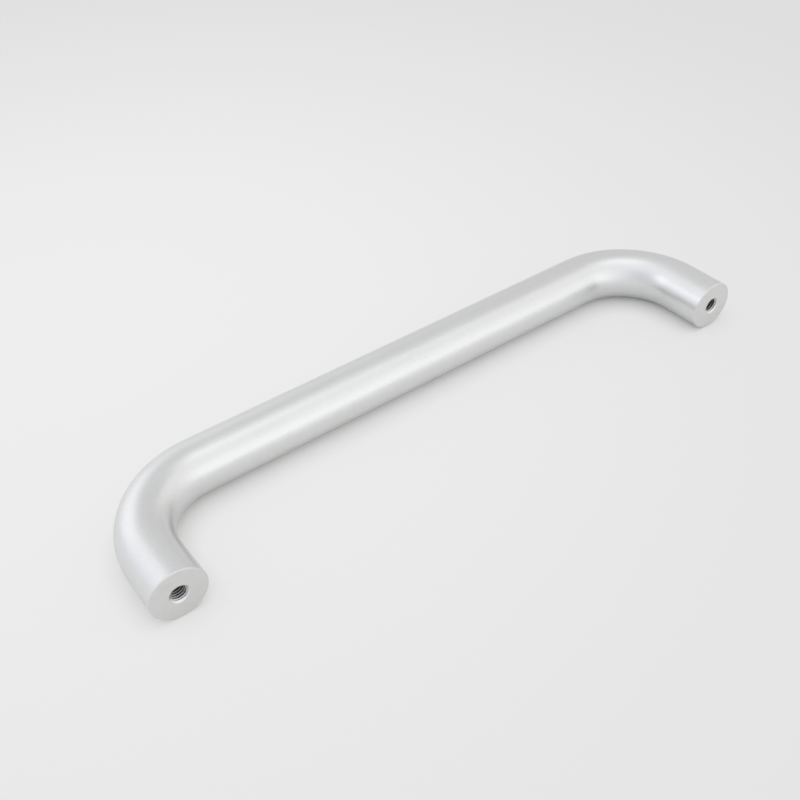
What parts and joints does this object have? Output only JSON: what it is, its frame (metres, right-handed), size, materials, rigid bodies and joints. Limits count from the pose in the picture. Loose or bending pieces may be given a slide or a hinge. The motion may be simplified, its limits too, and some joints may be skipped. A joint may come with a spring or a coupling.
{
  "type": "straight pull handle",
  "caption": "D-shaped pull handle bent from round aluminium bar, tapped in both end faces so that it bolts through a door from behind.",
  "frame": {"origin": "midway between the two tapped holes, on the plane of the door's face", "axes": "+X along the grip, +Y from the door's face out to the grip, +Z square to the plane of the bend; the handle lies on its side, on the lowest Z of the bar"},
  "size_m": [0.325, 0.0715, 0.025],
  "materials": {
    "satin_aluminium": "satin anodised"
  },
  "bodies": {
    "root": {"handle": "satin_aluminium"}
  },
  "joints": []
}
